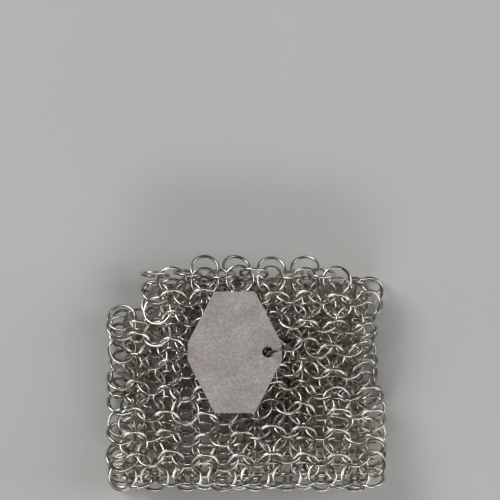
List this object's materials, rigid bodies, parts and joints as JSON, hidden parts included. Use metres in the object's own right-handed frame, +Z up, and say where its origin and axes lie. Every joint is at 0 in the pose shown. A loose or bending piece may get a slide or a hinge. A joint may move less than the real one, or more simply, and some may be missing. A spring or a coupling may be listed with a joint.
{
  "type": "pot scrubber",
  "caption": "Scouring sheet of linked steel rings folded in layers into a heap, with a bare flat steel tag on a ring; it unfolds flat, and the tag lifts and swings.",
  "frame": {"origin": "middle of the heap's box, on the surface that it lies on", "axes": "+Z up out of the surface, +X along the rows of rings, +Y from the near fold to the far fold"},
  "size_m": [0.111, 0.0934, 0.0321],
  "materials": {
    "ring_wire": "bright drawn stainless steel wire",
    "tag_sheet": "fine brushed stainless steel sheet"
  },
  "bodies": {
    "bottom_panel": {"bottom_row_01": "ring_wire", "bottom_row_02": "ring_wire", "bottom_row_03": "ring_wire", "bottom_row_04": "ring_wire", "bottom_row_05": "ring_wire", "bottom_row_06": "ring_wire", "bottom_row_07": "ring_wire", "bottom_row_08": "ring_wire", "bottom_row_09": "ring_wire", "bottom_row_10": "ring_wire", "bottom_row_11": "ring_wire", "bottom_row_12": "ring_wire", "bottom_row_13": "ring_wire", "bottom_row_14": "ring_wire", "bottom_row_15": "ring_wire", "bottom_row_16": "ring_wire", "bottom_row_17": "ring_wire"},
    "far_fold_strip": {"far_fold_row_01": "ring_wire", "far_fold_row_02": "ring_wire"},
    "middle_panel": {"middle_row_01": "ring_wire", "middle_row_02": "ring_wire", "middle_row_03": "ring_wire", "middle_row_04": "ring_wire", "middle_row_05": "ring_wire", "middle_row_06": "ring_wire", "middle_row_07": "ring_wire", "middle_row_08": "ring_wire", "middle_row_09": "ring_wire", "middle_row_10": "ring_wire", "middle_row_11": "ring_wire", "middle_row_12": "ring_wire", "middle_row_13": "ring_wire", "middle_row_14": "ring_wire", "middle_row_15": "ring_wire", "middle_row_16": "ring_wire", "middle_row_17": "ring_wire"},
    "near_fold_strip": {"near_fold_row_01": "ring_wire", "near_fold_row_02": "ring_wire"},
    "top_panel": {"top_row_01": "ring_wire", "top_row_02": "ring_wire", "top_row_03": "ring_wire", "top_row_04": "ring_wire", "top_row_05": "ring_wire", "top_row_06": "ring_wire", "top_row_07": "ring_wire", "top_row_08": "ring_wire", "top_row_09": "ring_wire", "top_row_10": "ring_wire", "top_row_11": "ring_wire", "top_row_12": "ring_wire", "top_row_13": "ring_wire", "top_row_14": "ring_wire", "top_row_15": "ring_wire", "top_row_16": "ring_wire"},
    "slope_strip": {"slope_row_01": "ring_wire", "slope_row_02": "ring_wire"},
    "drop_strip": {"drop_row_01": "ring_wire", "drop_row_02": "ring_wire"},
    "tag_ring": {"tag_ring": "ring_wire"},
    "tag": {"tag": "tag_sheet"}
  },
  "joints": [
    {"name": "far_fold_lower", "type": "hinge", "parent": "bottom_panel", "child": "far_fold_strip", "pos_m": [0, 0.03375, 0.00378], "axis": [-1, 0, 0], "range_deg": [0, 90]},
    {"name": "far_fold_upper", "type": "hinge", "parent": "far_fold_strip", "child": "middle_panel", "pos_m": [0, 0.03375, 0.01311], "axis": [-1, 0, 0], "range_deg": [0, 90]},
    {"name": "near_fold_lower", "type": "hinge", "parent": "middle_panel", "child": "near_fold_strip", "pos_m": [0, -0.04283, 0.01221], "axis": [1, 0, 0], "range_deg": [0, 90]},
    {"name": "near_fold_upper", "type": "hinge", "parent": "near_fold_strip", "child": "top_panel", "pos_m": [0, -0.04283, 0.02154], "axis": [1, 0, 0], "range_deg": [0, 90]},
    {"name": "slope_lift", "type": "hinge", "parent": "top_panel", "child": "slope_strip", "pos_m": [0, 0.02956, 0.02116], "axis": [1, 0, 0], "range_deg": [0, 14]},
    {"name": "drop_lift", "type": "hinge", "parent": "slope_strip", "child": "drop_strip", "pos_m": [0, 0.03842, 0.01911], "axis": [1, 0, 0], "range_deg": [0, 44]},
    {"name": "tag_lift", "type": "hinge", "parent": "top_panel", "child": "tag_ring", "pos_m": [0.01325, 0.01065, 0.02615], "axis": [-0.4203, 0.8954, 0.1472], "range_deg": [0, 110]},
    {"name": "tag_swing", "type": "hinge", "parent": "tag_ring", "child": "tag", "pos_m": [0.00835, 0.00843, 0.02568], "axis": [0, 0, 1], "range_deg": [0, 30]}
  ],
  "couplings": [
    {"joint": "far_fold_upper", "follows": "far_fold_lower", "ratio": 1},
    {"joint": "near_fold_upper", "follows": "near_fold_lower", "ratio": 1},
    {"joint": "slope_lift", "follows": "far_fold_lower", "ratio": 0.15556},
    {"joint": "drop_lift", "follows": "far_fold_lower", "ratio": 0.48889}
  ]
}
